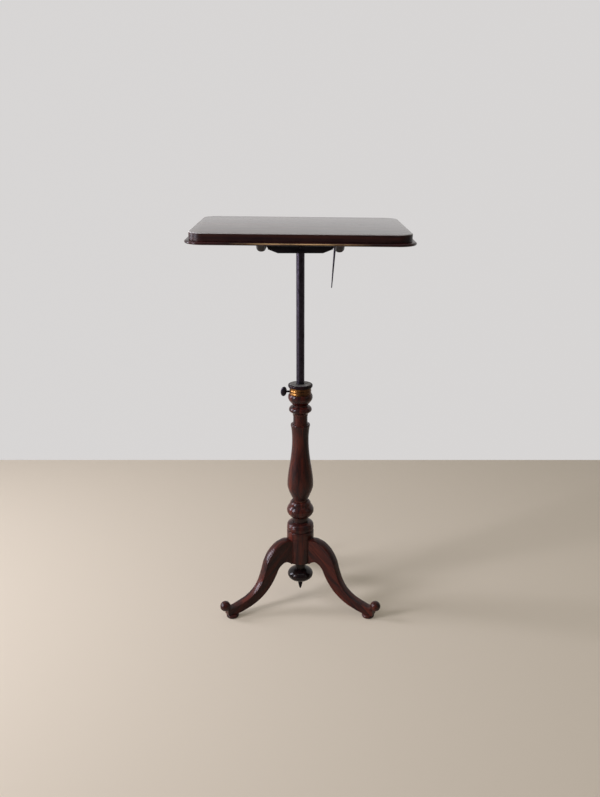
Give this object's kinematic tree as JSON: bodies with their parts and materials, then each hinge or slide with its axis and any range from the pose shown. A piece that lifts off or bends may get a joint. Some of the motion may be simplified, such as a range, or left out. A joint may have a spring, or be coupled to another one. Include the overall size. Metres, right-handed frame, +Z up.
{
  "type": "reading stand",
  "caption": "Reading stand with a tilting rectangular top on an iron rod that slides and turns in a turned column on a tripod base",
  "frame": {"origin": "on the floor, in the middle of the stand's bounding box in plan, which lies 22.8 mm behind the column's axis", "axes": "+Z up, the reader stands on the -Y side, +X to the reader's right; one leg points along +Y"},
  "size_m": [0.557, 0.4732, 1.0973],
  "materials": {
    "rosewood": "french polished dark rosewood",
    "top_wood": "french polished rosewood, worn",
    "dark_wood": "darkened and dull",
    "iron": "blackened",
    "brass": "worn and lacquered",
    "plate_metal": "dulled"
  },
  "bodies": {
    "stand": {"drum": "rosewood", "leg_back": "rosewood", "leg_front_left": "rosewood", "leg_front_right": "rosewood", "toe_ball_back": "rosewood", "toe_ball_front_left": "rosewood", "toe_ball_front_right": "rosewood", "foot_pad_back": "rosewood", "foot_pad_front_left": "rosewood", "foot_pad_front_right": "rosewood", "finial": "dark_wood", "finial_spike": "iron", "column_knop": "rosewood", "baluster": "rosewood", "collar_turning": "rosewood", "collar_band": "brass", "collar_cap": "dark_wood", "collar_plate": "plate_metal", "screw_bush": "brass"},
    "rod_foot": {"rod_foot_bush": "brass"},
    "head": {"rod": "iron", "rod_cross_pin": "iron", "pivot_block": "dark_wood"},
    "reading_top": {"top_board": "top_wood", "moulding_front": "rosewood", "moulding_back": "rosewood", "moulding_left": "rosewood", "moulding_right": "rosewood", "bearer_left": "dark_wood", "bearer_right": "dark_wood", "bearer_screw_left_1": "iron", "bearer_screw_left_2": "iron", "bearer_screw_left_3": "iron", "bearer_screw_left_4": "iron", "bearer_screw_right_1": "iron", "bearer_screw_right_2": "iron", "bearer_screw_right_3": "iron", "bearer_screw_right_4": "iron", "pivot_pin_left": "iron", "pivot_pin_right": "iron", "pivot_washer_left": "iron", "pivot_washer_right": "iron", "stay_staple": "iron"},
    "stay": {"prop_stay": "iron"},
    "shoe": {"clamp_shoe": "brass"},
    "screw": {"thumbscrew": "iron"}
  },
  "joints": [
    {"name": "height_slide", "type": "slide", "parent": "stand", "child": "rod_foot", "axis": [0, 0, 1], "range_m": [-0.35, 0.06]},
    {"name": "head_swivel", "type": "hinge", "parent": "rod_foot", "child": "head", "pos_m": [-0.00028, -0.0228, 0.5246], "axis": [0, 0, 1], "continuous": true},
    {"name": "top_tilt", "type": "hinge", "parent": "head", "child": "reading_top", "pos_m": [-0.00028, -0.0228, 1.0373], "axis": [0.9999, 0, -0.0105], "range_deg": [-2, 63]},
    {"name": "stay_swing", "type": "hinge", "parent": "reading_top", "child": "stay", "pos_m": [0.09652, 0.06654, 1.05662], "axis": [0.9999, 0, -0.0105], "range_deg": [-50, 80]},
    {"name": "clamp_travel", "type": "slide", "parent": "stand", "child": "shoe", "axis": [-1, 0, 0], "range_m": [0, 0.003]},
    {"name": "clamp_turn", "type": "hinge", "parent": "shoe", "child": "screw", "pos_m": [-0.03, -0.0228, 0.6371], "axis": [-1, 0, 0], "range_deg": [0, 720]}
  ],
  "couplings": [
    {"joint": "clamp_turn", "follows": "clamp_travel", "rad_per_m": 4188.8}
  ]
}
